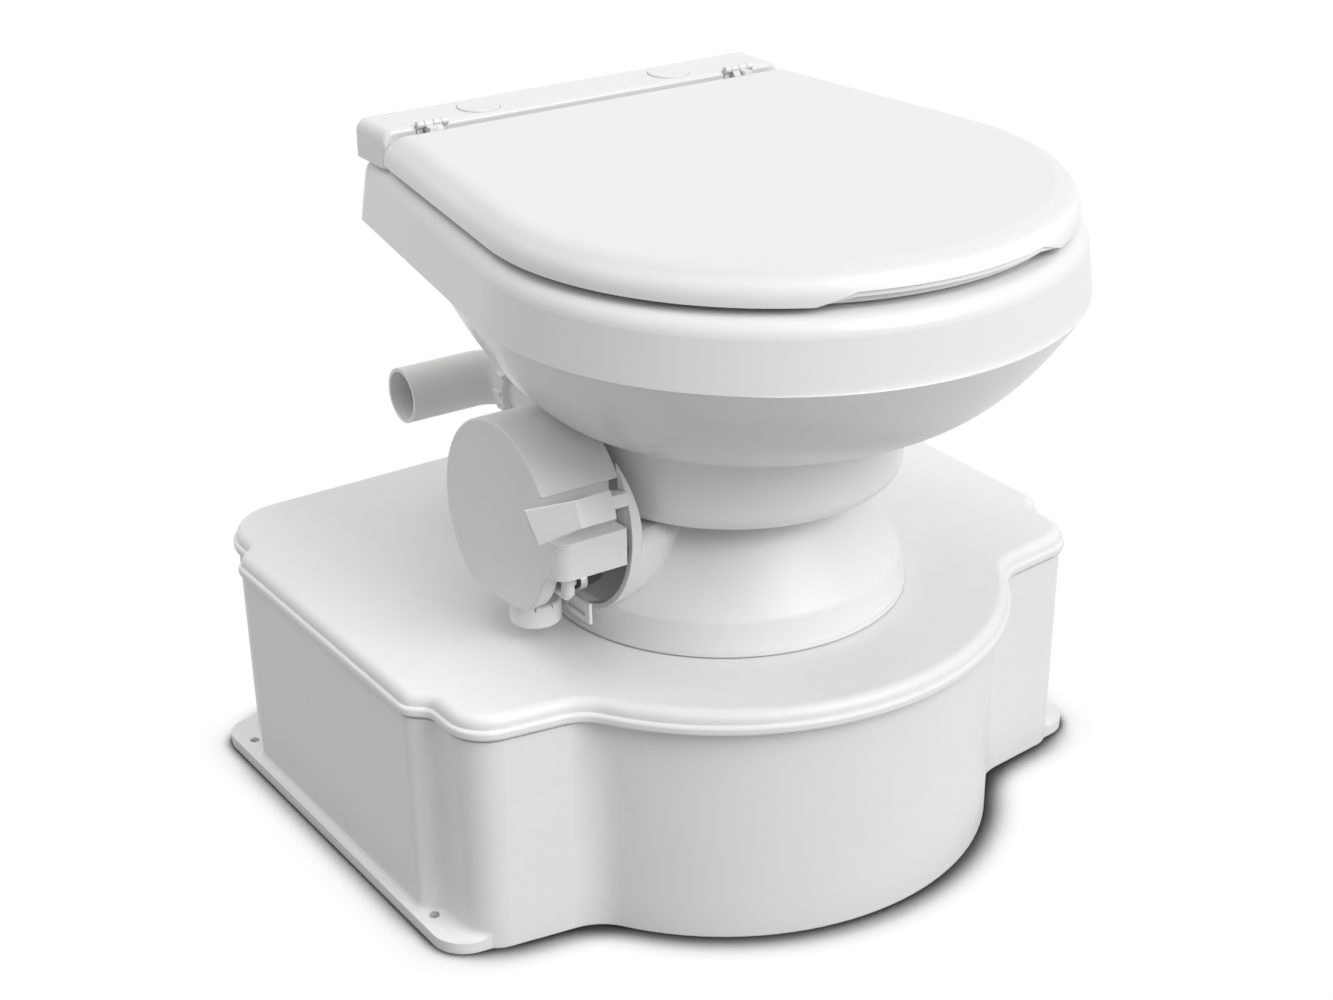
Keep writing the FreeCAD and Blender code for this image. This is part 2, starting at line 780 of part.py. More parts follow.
def pad_section(x, lean, angles, reach):
    """Four corners of the pad: its back on the inner circle and its face that far beyond it."""
    low, high = angles
    spots = [
        at_angle(pad_inner + reach, high),
        at_angle(pad_inner + reach, low),
        at_angle(pad_inner, low),
        at_angle(pad_inner, high),
    ]
    corners = [Vec(x + lean * (z - axis_z), y, z) for y, z in spots]
    return Part.makePolygon(corners + [corners[0]])


pad_ends = [
    pad_section(pad_left, pad_left_lean, pad_left_angles, pad_edge),
    pad_section(pad_ridge, 0.0, pad_ridge_angles, pad_gable),
    pad_section(pad_right, 0.0, pad_right_angles, pad_edge),
]
pad = Part.makeLoft(pad_ends[:2], True, True).fuse(Part.makeLoft(pad_ends[1:], True, True)).removeSplitter()
face_edges = []
for edge in pad.Edges:
    middle = edge.valueAt((edge.FirstParameter + edge.LastParameter) / 2)
    if math.hypot(middle.y, middle.z - axis_z) > pad_inner + pad_edge * 0.8 and middle.x < pad_right - 1:
        face_edges.append(edge)
pad = pad.makeFillet(pad_edge_round, face_edges)
link_ends = [pad_section(x, 0.0, link_angles, link_reach) for x in (pad_right, arm_right)]
pedal = pad.fuse(Part.makeLoft(link_ends, True, True)).fuse(arm).fuse(hub)
cam_spots = []
cam_left = nut_x - cam_length / 2
for step in range(7):
    angle = -90.0 + cam_sweep * (step / 6.0)
    cam_spots.append(Vec(cam_left, *at_angle(hub_radius + cam_lift * step / 6.0, angle)))
cam_curve = Part.BSplineCurve()
cam_curve.interpolate(cam_spots)
cam_back = Vec(cam_left, *at_angle(hub_radius, 40.0))
cam_side = Vec(cam_left, *at_angle(hub_radius, 150.0))
cam_edges = [
    cam_curve.toShape(),
    line(cam_spots[-1], cam_back),
    arc(cam_back, Vec(cam_left, *at_angle(hub_radius, 95.0)), cam_side),
    arc(cam_side, Vec(cam_left, *at_angle(hub_radius, 210.0)), cam_spots[0]),
]
cam = Part.Face(Part.Wire(cam_edges)).extrude(Vec(cam_length, 0, 0))
pedal = pedal.fuse(cam).cut(shaft)
save("foot_pedal", pedal.removeSplitter())
screw_seat = shaft_end
washer_radius = hub_radius - 3
washer = rod(washer_radius, Vec(screw_seat - 2, 0, axis_z), Vec(screw_seat, 0, axis_z))
screw_head = rod(shaft_radius * 0.8, Vec(screw_seat - 6, 0, axis_z), Vec(screw_seat - 2, 0, axis_z))
save("pedal_screw", washer.fuse(screw_head))
spring_mean = boss_radius + 4.5
spring_wire = 1.5
spring_left = arm_right + part_gap + spring_wire
spring_right = boss_outer_x - part_gap
spring_pitch = 3.6
spring_turns = (spring_right - spring_left - spring_wire) / spring_pitch
helix = Part.makeHelix(spring_pitch, spring_pitch * spring_turns, spring_mean)
profile = Part.Wire(Part.Circle(Vec(spring_mean, 0, 0), Y, spring_wire).toShape())
spring = Part.Wire(helix).makePipeShell([profile], True, True)
spring.rotate(ORIGIN, Y, 90)
spring.translate(Vec(spring_left, 0, axis_z))
save("return_spring", spring)

# Pedal cover: a round cap with a nose under the pedal, a pedal recess and an open underside.


def cover_profile(inset, x):
    radius = cover_radius - inset
    flat = cover_flat + inset
    lobe = lobe_round - inset
    lobe_z = cover_flat + lobe_round
    rear = math.sqrt(radius ** 2 - (axis_z - flat) ** 2)
    drop = math.radians(20.0)
    toe = Vec(x, lobe_centre_y - lobe * math.cos(drop), lobe_z - lobe * math.sin(drop))
    mid = Vec(x, lobe_centre_y - lobe * math.cos(drop * 2.75), lobe_z - lobe * math.sin(drop * 2.75))
    chin = Vec(x, *at_angle(radius, -8.0))
    heel = Vec(x, rear, flat)
    keel = Vec(x, lobe_centre_y, flat)
    edges = [
        line(heel, keel),
        arc(keel, mid, toe),
        line(toe, chin),
        arc(chin, Vec(x, *at_angle(radius, 100.0)), heel),
    ]
    return Part.Face(Part.Wire(edges))


cover = cover_profile(0.0, cover_end).extrude(Vec(cover_depth, 0, 0))
end_face_edges = [e for e in cover.Edges if e.BoundBox.XMax < cover_end + 1e-4]
cover = cover.makeFillet(cover_edge, end_face_edges)
cover_form = cover
nose = box(cover_end, drum_face, nose_front, recess_floor, nose_bottom, nose_top)
nose_edge = [
    e for e in nose.Edges
    if abs(e.BoundBox.XMax - cover_end) < 1e-4 and abs(e.BoundBox.YMax - nose_front) < 1e-4
]
nose = nose.makeFillet(nose_round, nose_edge)
cover = cover.fuse(nose)
cover = cover.cut(box(cover_end - 1, drum_face, nose_front * 1.5, recess_floor, nose_top, recess_top))
hollow = cover_profile(cover_wall, cover_end + cover_wall).extrude(Vec(cover_depth, 0, 0))
hollow = hollow.cut(
    box(
        cover_end,
        drum_face + 1,
        nose_front * 1.5,
        recess_floor + cover_wall,
        nose_top - cover_wall,
        recess_top + cover_wall,
    )
)
nose_hollow = box(
    cover_end + cover_plate_lobe,
    drum_face,
    nose_front + cover_wall,
    recess_floor + cover_wall,
    nose_bottom - 1,
    nose_top - cover_wall,
)
cover = cover.cut(hollow).cut(nose_hollow)
lobe_plate = cover_form.common(
    box(cover_end, cover_end + cover_plate_lobe, -cover_radius, cover_radius, cover_flat, nose_bottom)
)
cover = cover.fuse(lobe_plate)
spigot_radius = math.sqrt((drum_radius - drum_wall) ** 2 - spigot_length ** 2) - spigot_gap
spigot = tube(
    spigot_radius,
    spigot_radius - cover_wall,
    Vec(drum_face - cover_wall, 0, axis_z),
    Vec(drum_face + spigot_length, 0, axis_z),
)
spigot_top = ledge_z - drum_soft
spigot = spigot.cut(box(drum_face, 0, -drum_radius, drum_radius, spigot_top, axis_z + drum_radius))
cover = cover.fuse(spigot)
open_side = cover_end + cover_plate_lobe
cover = cover.cut(box(open_side, 0, nose_front * 1.5, cover_radius / 2, base_z, nose_bottom))
spigot_left = drum_face - part_gap
cover = cover.cut(box(spigot_left, 0, 0, cover_radius, base_z, cover_flat + cover_radius / 4))
slot_left = drum_face - arm_slot
cover = cover.cut(box(slot_left, 0, nose_front * 1.5, -cover_radius * 0.2, base_z, recess_top))
cover = cover.cut(bowl_envelope(part_gap))
for angle in drum_screw_angles:
    cover = cover.cut(drum_screw(angle, screw_radius, spigot_radius - 8, drum_radius))
save("pedal_cover", cover.removeSplitter())
cover_screws = []
for angle in drum_screw_angles:
    shank = drum_screw(angle, screw_radius, spigot_radius - cover_wall, drum_radius)
    head = drum_screw(angle, screw_radius * 1.9, drum_radius, drum_radius + screw_radius)
    cover_screws.append(shank.fuse(head))
save("cover_screws", *cover_screws)

# Water valve: body on a bracket, plunger worked by the pedal cam, inlet nut and bowl hose.

valve_base = nut_bottom + nut_height + 1.0
valve_foot = Vec(nut_x, nut_y, valve_base)
outlet_x = nut_x + outlet_arm_offset
outlet_low = outlet_arm_z - outlet_arm_radius * 2
plunger_low = valve_top - plunger_depth
plunger_high = axis_z - hub_radius - cam_gap
valve = rod(valve_radius, valve_foot, Vec(nut_x, nut_y, valve_top))
valve = valve.fuse(rod(stem_radius, Vec(nut_x, nut_y, nut_bottom + 1.5), valve_foot))
valve = valve.fuse(
    rod(outlet_arm_radius, Vec(outlet_x, nut_y, outlet_low), Vec(outlet_x, outlet_arm_y, outlet_low))
)
valve = valve.fuse(
    rod(
        outlet_arm_radius,
        Vec(outlet_x, outlet_arm_y, outlet_low),
        Vec(outlet_x, outlet_arm_y, outlet_arm_z + outlet_arm_radius),
    )
)
hose_start = Vec(outlet_x + outlet_arm_radius, outlet_arm_y, outlet_arm_z)
barb_end = hose_start.add(Vec(8, 0, 0))
valve = valve.fuse(rod(hose_bore, Vec(outlet_x, outlet_arm_y, outlet_arm_z), barb_end))
bore_foot = Vec(nut_x, 0, plunger_low - cam_lift - 1)
valve = valve.cut(rod(plunger_radius + plunger_gap / 2, bore_foot, Vec(nut_x, 0, valve_top + 1)))
valve = valve.cut(rod(stem_radius * 0.6, Vec(nut_x, nut_y, nut_bottom), Vec(nut_x, nut_y, valve_base + 6)))
save("water_valve", valve.removeSplitter())
save("valve_plunger", rod(plunger_radius, Vec(nut_x, 0, plunger_low), Vec(nut_x, 0, plunger_high)))

nut_foot = Vec(nut_x, nut_y, nut_bottom)
nut = rod(nut_radius, nut_foot, Vec(nut_x, nut_y, nut_bottom + nut_height))
nut = nut.makeChamfer(1.2, edges_at(nut, nut_bottom) + edges_at(nut, nut_bottom + nut_height))
nut = nut.cut(rod(stem_radius + thread_gap, nut_foot, Vec(nut_x, nut_y, nut_bottom + nut_height)))
slot_half = nut_slot_width / 2
slot_low = nut_height - nut_slot_height
slot = box(nut_radius - nut_slot_depth, nut_radius + 1, -slot_half, slot_half, slot_low, nut_height + 1)
for step in range(nut_slots):
    cutter = slot.copy()
    cutter.rotate(ORIGIN, Z, 360.0 * step / nut_slots)
    cutter.translate(nut_foot)
    nut = nut.cut(cutter)
save("inlet_nut", nut)

bracket_left = nut_x + nut_radius + 2.0
bracket_thick = 2.4
tab_height = 15.4
tab_front = -44.0
slot_ends = (-38.0, -14.0)
slot_levels = (4.0, 8.0)
strap_front = 8.0
strap_rear = 20.0
bracket_top = valve_base + bracket_thick
bracket_low = bracket_top - tab_height
bracket_right = bracket_left + bracket_thick
tab = box(bracket_left, bracket_right, tab_front, strap_rear, bracket_low, bracket_top)
slot_low, slot_high = (bracket_low + level for level in slot_levels)
tab_slot = box(bracket_left - 1, bracket_right + 1, *slot_ends, slot_low, slot_high)
strap = box(nut_x, drum_face, nut_y, strap_rear, valve_base, bracket_top)
strap = strap.cut(box(bracket_right, 0, -cover_radius, strap_front, 0, axis_z))
leg_low = axis_z - drum_radius + 1.5
leg = box(drum_face - bracket_thick, drum_face, strap_front, strap_rear, leg_low, bracket_top)
bracket = tab.cut(tab_slot).fuse(strap).fuse(leg.cut(bell))
bracket = bracket.cut(rod(valve_radius, Vec(nut_x, nut_y, 0), Vec(nut_x, nut_y, axis_z)))
save("valve_bracket", bracket.removeSplitter())

collar_reach = math.sqrt(collar_radius ** 2 - (hose_rear_y - collar_y) ** 2)
hose_turns = [
    hose_start,
    Vec(hose_x, outlet_arm_y, outlet_arm_z),
    Vec(hose_x, hose_rear_y, outlet_arm_z),
    Vec(hose_x, hose_rear_y, hose_high_z),
    Vec(-collar_reach + 6, hose_rear_y, hose_high_z),
]


def bent_path(turns, bend):
    edges = []
    here = turns[0]
    for before, spot, after in zip(turns, turns[1:], turns[2:]):
        back = before.sub(spot).normalize()
        ahead = after.sub(spot).normalize()
        start = spot.add(Vec(back).multiply(bend))
        end = spot.add(Vec(ahead).multiply(bend))
        diagonal = back.add(ahead).normalize()
        middle = spot.add(diagonal.multiply(bend * (math.sqrt(2) - 1)))
        edges.append(line(here, start))
        edges.append(arc(start, middle, end))
        here = end
    edges.append(line(here, turns[-1]))
    return Part.Wire(edges)


def bent_rod(turns, bend, radius):
    path = bent_path(turns, bend)
    along = turns[1].sub(turns[0])
    ring = Part.Wire(Part.Circle(turns[0], along, radius).toShape())
    return path.makePipeShell([ring], True, True)


hose_outer = bent_rod(hose_turns, hose_bend, hose_radius)
hose = hose_outer.cut(bent_rod(hose_turns, hose_bend, hose_bore))
save("water_hose", hose)
clip_spots = [
    (Vec(hose_start.x + 1.5, outlet_arm_y, outlet_arm_z), X),
    (Vec(hose_x, hose_rear_y, hose_high_z - 22), Z),
]
clips = []
for spot, along in clip_spots:
    clips.append(tube(hose_radius + 1.4, hose_radius, spot, spot.add(Vec(along).multiply(5.0))))
save("hose_clips", *clips)

# Discharge: dip tube, riser elbow, union ring and outlet elbow.

save("dip_tube", tube(dip_radius, dip_radius - pipe_wall, dip_foot, dip_head))
riser_low = Vec(riser_x, riser_y, tank_top)
leg_end = riser_y + pipe_bend + union_length
riser_turns = [riser_low, Vec(riser_x, riser_y, pipe_z), Vec(riser_x, leg_end, pipe_z)]
riser = bent_rod(riser_turns, pipe_bend, pipe_radius)
riser = riser.fuse(rod(riser_flange, riser_low, Vec(riser_x, riser_y, tank_top + riser_flange_height)))
riser = riser.cut(bent_rod(riser_turns, pipe_bend, dip_radius))
save("riser_elbow", riser.removeSplitter())
outlet_turns = [Vec(pipe_end, pipe_y, pipe_z), Vec(riser_x, pipe_y, pipe_z), Vec(riser_x, leg_end, pipe_z)]
outlet_bend = pipe_y - leg_end - 1.0
outlet_elbow = bent_rod(outlet_turns, outlet_bend, pipe_radius)
outlet_elbow = outlet_elbow.cut(bent_rod(outlet_turns, outlet_bend, dip_radius))
save("outlet_elbow", outlet_elbow)
union_start = leg_end - union_length + 2.0
ring = tube(
    union_radius,
    pipe_radius,
    Vec(riser_x, union_start, pipe_z),
    Vec(riser_x, union_start + union_length, pipe_z),
)
rib_x = union_radius - 0.4
rib_end = union_start + union_length - 1.5
rib = rod(2.2, Vec(rib_x, union_start + 1.5, 0), Vec(rib_x, rib_end, 0))
for step in range(union_ribs):
    grip = rib.copy()
    grip.rotate(ORIGIN, Y, 360.0 * step / union_ribs)
    grip.translate(Vec(riser_x, 0, pipe_z))
    ring = ring.fuse(grip)
ring = ring.cut(outlet_elbow).cut(riser)
save("union_ring", ring.removeSplitter())

# Bowl: dish, neck and tapered rim with a seat deck, opened by the basin down to the valve.

dish = dish_solid(0.0)
collar = rod(collar_radius, Vec(0, collar_y, collar_bottom), Vec(0, collar_y, dish_bottom + collar_sunk))
collar = collar.makeFillet(collar_round, edges_at(collar, collar_bottom))
rim_low = shield(rim_half, rim_front, rim_y, rim_taper, rim_rear, rim_corner, rim_foot_z)
rim_high = shield(
    rim_half - rim_lean,
    rim_front - rim_lean,
    rim_y,
    rim_taper,
    rim_rear - rim_lean,
    rim_corner,
    rim_top,
)
rim = Part.makeLoft([rim_low, rim_high], True, True)
rim = rim.makeFillet(rim_round, edges_at(rim, rim_top))
bowl = dish.fuse(collar).fuse(rim)
basin_low = seal_top + seal_height * 3
basin_steps = [(-0.004, 1.0), (0.3, 0.99), (0.536, 0.92), (0.714, 0.79), (0.829, 0.6), (0.914, 0.39)]
sections = []
for sunk, share in basin_steps:
    z = rim_top - sunk * (rim_top - basin_low)
    sections.append(oval(basin_half * share, basin_front * share, basin_rear * share, rim_y * share, z))
sections.append(oval(outlet * 1.45, -outlet * 1.45, outlet * 1.45, 0.0, basin_low))
sections.append(oval(outlet, -outlet, outlet, 0.0, seal_top - 1))
basin = Part.makeLoft(sections, True, False)
hollow_top = seal_top + 6
under = rod(collar_radius - collar_wall, Vec(0, collar_y, collar_bottom - 1), Vec(0, collar_y, hollow_top))
under = under.cut(rod(neck_radius - 2, Vec(0, 0, seal_top), Vec(0, 0, hollow_top + 1)))
bowl = bowl.cut(basin).cut(under)
shaft_notch = rod(boss_radius + part_gap * 2, Vec(-collar_radius * 2, 0, axis_z), Vec(0, 0, axis_z))
bowl = bowl.cut(shaft_notch)
hub_notch_end = Vec(-collar_radius * 0.8, 0, axis_z)
bowl = bowl.cut(rod(hub_radius + hub_clear, Vec(-collar_radius * 2, 0, axis_z), hub_notch_end))
inlet_foot = Vec(-collar_radius * 1.5, hose_rear_y, hose_high_z)
bowl = bowl.cut(rod(hose_radius, inlet_foot, Vec(hose_socket - collar_reach, hose_rear_y, hose_high_z)))
for spot in around(bowl_bolt_count, bowl_bolt_circle):
    bolt_end = Vec(spot.x, spot.y, seal_top + bolt_reach)
    bowl = bowl.cut(rod(bowl_bolt, Vec(spot.x, spot.y, seal_top - 1), bolt_end))
for side in (-1, 1):
    deck_top = Vec(side * cap_x, cap_y, rim_top + 1)
    bowl = bowl.cut(rod(hinge_bolt, Vec(side * cap_x, cap_y, dish_bottom), deck_top))
    pocket_top = Vec(side * cap_x, cap_y, rim_foot_z)
    bowl = bowl.cut(rod(nut_pocket, Vec(side * cap_x, cap_y, dish_bottom), pocket_top))
save("bowl", bowl.removeSplitter())

# Seat and lid: hinge bar bolted to the deck, pins at its upper front edge, seat ring and lid shell.

hinge_z = lid_top + hinge_rise
bar = box(-bar_half, bar_half, bar_front, bar_rear, rim_top, lid_top)
end_edges = [
    e for e in bar.Edges
    if abs(abs(e.CenterOfMass.x) - bar_half) < 1e-4 and abs(e.CenterOfMass.z - lid_top) < 1e-4
]
bar = bar.makeFillet(bar_end_round, end_edges)
top_edges = [
    e for e in bar.Edges
    if e.BoundBox.YLength < 1e-4 and e.BoundBox.ZMax > rim_top + 1 and e.BoundBox.XLength > 1.0
]
bar = bar.makeFillet(bar_round, top_edges)
lug_far = knuckle_x + lug_width + seat_knuckle_width + lid_knuckle_width + knuckle_gap * 3
seat_knuckle_x = knuckle_x + lug_width + knuckle_gap
lid_knuckle_x = seat_knuckle_x + seat_knuckle_width + knuckle_gap
pin_bore = pin_radius + pin_gap


def barrel(x, width):
    return rod(knuckle_radius, Vec(x, hinge_y, hinge_z), Vec(x + width, hinge_y, hinge_z))


def bore_cut(shape, radius):
    low = Vec(knuckle_x - 1, hinge_y, hinge_z)
    drill = rod(radius, low, Vec(lug_far + lug_width + 1, hinge_y, hinge_z))
    return shape.cut(drill).cut(mirrored(drill))


clear_end = lug_far + lug_width + knuckle_gap
swing = knuckle_radius + knuckle_gap
pocket_rear = hinge_y + swing
pocket = box(knuckle_x - knuckle_gap, clear_end, bar_front - 1, pocket_rear, hinge_z - swing * 2, lid_top + 1)
bar = bar.cut(both_sides(pocket))
for x in (knuckle_x, lug_far):
    web = box(x, x + lug_width, hinge_y, pocket_rear + bar_round, hinge_z - swing * 2, hinge_z - hinge_rise)
    lug = barrel(x, lug_width).fuse(web)
    bar = bar.fuse(both_sides(lug))
bar = bore_cut(bar, pin_radius)
bolt_head_z = lid_top - cap_depth - hinge_bolt * 1.5
for side in (-1, 1):
    seat_low = Vec(side * cap_x, cap_y, bolt_head_z)
    bar = bar.cut(rod(cap_radius - 3, seat_low, Vec(side * cap_x, cap_y, lid_top + 1)))
    cap_low = Vec(side * cap_x, cap_y, lid_top - cap_depth)
    bar = bar.cut(rod(cap_radius, cap_low, Vec(side * cap_x, cap_y, lid_top + 1)))
    bar = bar.cut(rod(hinge_bolt, Vec(side * cap_x, cap_y, rim_top - 1), Vec(side * cap_x, cap_y, lid_top)))
save("hinge_bar", bar.removeSplitter())
caps = []
hinge_bolts = []
hinge_nuts = []
hinge_washers = []
nut_face = rim_foot_z
for side in (-1, 1):
    cap_low = Vec(side * cap_x, cap_y, lid_top - cap_depth)
    cap_high = Vec(side * cap_x, cap_y, lid_top + cap_rise)
    disc = rod(cap_radius - 0.3, cap_low, cap_high)
    disc = disc.makeFillet(cap_rise, edges_at(disc, lid_top + cap_rise))
    caps.append(disc)
    head_low = Vec(side * cap_x, cap_y, bolt_head_z)
    bolt_tail = Vec(side * cap_x, cap_y, nut_face - hinge_bolt * 4)
    head = rod(hinge_bolt * 2, head_low, head_low.add(Vec(0, 0, hinge_bolt * 1.25)))
    hinge_bolts.append(rod(hinge_bolt, bolt_tail, head_low).fuse(head))
    face = Vec(side * cap_x, cap_y, nut_face)
    washer_low = Vec(side * cap_x, cap_y, nut_face - hinge_bolt / 2)
    hinge_washers.append(tube(hinge_bolt * 2.5, hinge_bolt, washer_low, face))
    nut_low = Vec(side * cap_x, cap_y, nut_face - hinge_bolt * 2.75)
    wing_x = side * cap_x
    wing_half = hinge_bolt * 3.5
    wing_y = hinge_bolt * 0.375
    wing_low = nut_face - hinge_bolt * 3.25
    wing_high = nut_face - hinge_bolt * 1.25
    wing = box(wing_x - wing_half, wing_x + wing_half, cap_y - wing_y, cap_y + wing_y, wing_low, wing_high)
    wing_nut = rod(hinge_bolt * 1.8, nut_low, washer_low).fuse(wing)
    hinge_nuts.append(wing_nut.cut(rod(hinge_bolt, bolt_tail, face)))
save("hinge_caps", *caps)
save("hinge_bolts", *hinge_bolts)
save("hinge_washers", *hinge_washers)
save("hinge_nuts", *hinge_nuts)
pin = rod(pin_radius, Vec(knuckle_x, hinge_y, hinge_z), Vec(lug_far + lug_width, hinge_y, hinge_z))
save("hinge_pins", *both_sides(pin))

seat_rear = hinge_y - knuckle_radius * 2 - 2
seat_wire = shield(
    lid_half - seat_inset,
    lid_front - seat_inset,
    lid_y,
    lid_taper,
    seat_rear,
    seat_inset * 2,
    seat_bottom,
)
seat = slab(seat_wire, seat_height)
seat_middle = (seat_hole_front * 2 + seat_hole_rear) / 3
opening = slab(oval(seat_hole_half, seat_hole_front, seat_hole_rear, seat_middle, seat_bottom), seat_height)
seat = seat.cut(opening)
seat = seat.makeFillet(seat_round, edges_at(seat, seat_bottom + seat_height))
arm_profile = [
    Vec(seat_knuckle_x, seat_rear - 8, seat_bottom + 2),
    Vec(seat_knuckle_x, seat_rear, seat_bottom + 2),
    Vec(seat_knuckle_x, hinge_y + knuckle_radius * 0.9, hinge_z - knuckle_radius * 0.4),
    Vec(seat_knuckle_x, hinge_y - knuckle_radius * 0.9, hinge_z - knuckle_radius * 0.4),
    Vec(seat_knuckle_x, seat_rear - 8, seat_top - 2),
]
seat_arm = polygon(arm_profile).extrude(Vec(seat_knuckle_width, 0, 0))
seat_arm = seat_arm.fuse(barrel(seat_knuckle_x, seat_knuckle_width))
seat = bore_cut(seat.fuse(both_sides(seat_arm)), pin_bore)
save("seat", seat.removeSplitter())
seat_bumpers = []
for bx, by in ((lid_half * 0.832, lid_half * -0.594), (lid_half * 0.718, lid_half * 0.446)):
    foot = Vec(bx, by, rim_top + rest_gap)
    seat_bumpers += both_sides(rod(bumper_radius, foot, Vec(bx, by, seat_bottom)))
save("seat_bumpers", *seat_bumpers)


def lid_wire(inset, rear, z):
    return shield(lid_half - inset, lid_front - inset, lid_y, lid_taper, rear, 6.0, z)


lid = slab(lid_wire(0.0, lid_rear, lid_bottom), lid_top - lid_bottom)
front_edges = [e for e in edges_at(lid, lid_top) if e.BoundBox.YMin < lid_rear - 7]
lid = lid.makeFillet(lid_round, front_edges)
inner = slab(lid_wire(lid_wall, lid_rear + lid_wall * 3, lid_bottom), lid_top - lid_wall - lid_bottom)
inner_front = [e for e in edges_at(inner, lid_top - lid_wall) if e.BoundBox.YMin < lid_rear - 7]
inner = inner.makeFillet(lid_round - lid_wall, inner_front)
lid = lid.cut(inner)
notch_front = lid_y - lid_front


def finger_cut(rise):
    """An opening across the front of the skirt, flat on top, with sloping ends."""
    ends = lid_notch_half + lid_notch_run
    spots = [(-ends, -1.0), (ends, -1.0), (lid_notch_half, rise), (-lid_notch_half, rise)]
    face = polygon([Vec(x, notch_front - 1, lid_bottom + z) for x, z in spots])
    return face.extrude(Vec(0, lid_half / 4, 0))


behind_ledge = slab(lid_wire(lid_ledge, lid_rear, lid_bottom), lid_height)
lid = lid.cut(finger_cut(lid_notch_rise).cut(behind_ledge))
lid = lid.cut(finger_cut(lid_notch_rise - lid_ledge_drop))
relief_low = lid_top - lid_wall - 1
relief = box(knuckle_x - knuckle_gap, clear_end, hinge_y - swing, lid_rear + 1, relief_low, lid_top + 1)
seat_relief_x = seat_knuckle_x - knuckle_gap
seat_relief = box(
    seat_relief_x,
    seat_relief_x + seat_knuckle_width + knuckle_gap * 2,
    hinge_y - swing * 3,
    lid_rear + 1,
    relief_low,
    lid_top + 1,
)
lid = lid.cut(both_sides(relief.fuse(seat_relief)))
lid_web = box(
    lid_knuckle_x,
    lid_knuckle_x + lid_knuckle_width,
    hinge_y - swing * 3,
    hinge_y,
    lid_top - lid_wall,
    hinge_z,
)
lid_web = lid_web.cut(box(0, lid_half, 0, hinge_y - knuckle_radius, lid_top, hinge_z + 1))
lid_knuckle = lid_web.fuse(barrel(lid_knuckle_x, lid_knuckle_width))
lid = bore_cut(lid.fuse(both_sides(lid_knuckle)), pin_bore)
save("lid", lid.removeSplitter())
lid_bumpers = []
pad_top = lid_top - lid_wall
for bx, by in ((lid_half * 0.693, lid_half * -0.545), (lid_half * 0.693, lid_half * 0.495)):
    lid_bumpers += both_sides(rod(bumper_radius, Vec(bx, by, seat_top + rest_gap), Vec(bx, by, pad_top)))
save("lid_bumpers", *lid_bumpers)
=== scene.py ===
"""Dresses the solids of a gravity toilet on its holding tank for the studio.

The solids get their finishes, two small fixings are added, and the floor, light and camera are set up.
"""

import json
import math

import bmesh
import bpy
import numpy as np
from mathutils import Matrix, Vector


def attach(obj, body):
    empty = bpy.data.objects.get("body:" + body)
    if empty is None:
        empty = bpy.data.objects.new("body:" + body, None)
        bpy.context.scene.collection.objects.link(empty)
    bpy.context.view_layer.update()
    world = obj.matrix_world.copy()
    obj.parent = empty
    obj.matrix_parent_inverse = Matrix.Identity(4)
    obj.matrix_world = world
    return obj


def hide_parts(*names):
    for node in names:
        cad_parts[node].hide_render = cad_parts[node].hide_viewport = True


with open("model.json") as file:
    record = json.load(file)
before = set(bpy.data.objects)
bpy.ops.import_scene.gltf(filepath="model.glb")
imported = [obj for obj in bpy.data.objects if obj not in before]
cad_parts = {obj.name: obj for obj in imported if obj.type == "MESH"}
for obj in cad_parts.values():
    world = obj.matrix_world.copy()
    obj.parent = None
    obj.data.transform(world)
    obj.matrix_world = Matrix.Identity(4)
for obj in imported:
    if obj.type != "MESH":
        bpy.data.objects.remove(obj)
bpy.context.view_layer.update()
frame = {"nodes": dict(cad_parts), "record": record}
nodes = frame["nodes"]

# Camera at the photograph's angle, worked out for an image of 1333 by 1000 pixels, in metres and degrees.
IMAGE_WIDTH = 1333
IMAGE_HEIGHT = 1000
FOCAL_PIXELS = 2447.4
AXIS_PIXEL = (735.3, 503.7)
SENSOR_WIDTH = 36.0
CAMERA_PLACE = Vector((-0.90543, -1.31352, 0.97157))
CAMERA_TURN = -34.86
CAMERA_RISE = 24.72

# Light: an even room with soft windows, each with its turn, rise and strength, and one broad lamp.
ROOM_WHITE = (1.0, 1.0, 1.0)
ROOM_LEVEL = 0.15
WINDOW_FOCUS = 4.0
WINDOWS = [
    (15.0, 25.0, 0.85),
    (180.0, 25.0, 0.46),
    (180.0, 60.0, 0.54),
    (-110.0, 68.0, 1.12),
]
KEY_STRENGTH = 1.85
KEY_ANGLE = math.radians(40)
KEY_TURN = 20.0
KEY_RISE = 38.0

# The floor: half its width, the grey it lights the object with, and its contact shade, with how far
# that reaches, the openness at which it is darkest and gone, and how light its darkest is.
FLOOR_HALF = 9.0
FLOOR_GREY = (0.30, 0.30, 0.30)
SHADE_REACH = 0.03
SHADE_DARK = 0.52
SHADE_GONE = 0.99
SHADE_LEVEL = 0.02
SHADE_SAMPLES = 8

# The cover's screws on the valve drum, in metres and degrees.
SHAFT_Z = 0.272
DRUM_RADIUS = 0.076
SCREW_X = -0.122
SCREW_ANGLES = (192.0, 208.0)
SCREW_HEAD = 0.00342
SCREW_RISE = 0.0018
SCREW_SHANK = 0.0017
SCREW_LENGTH = 0.007
SCREW_STEPS = 72
HEAD_RINGS = 22
HEAD_FALL = 0.35
HEAD_TOP = 0.6
CROSS_WIDTH = 0.0006
CROSS_DEPTH = 0.0011
CROSS_SPAN = 0.42
CROSS_FADE = 1.5

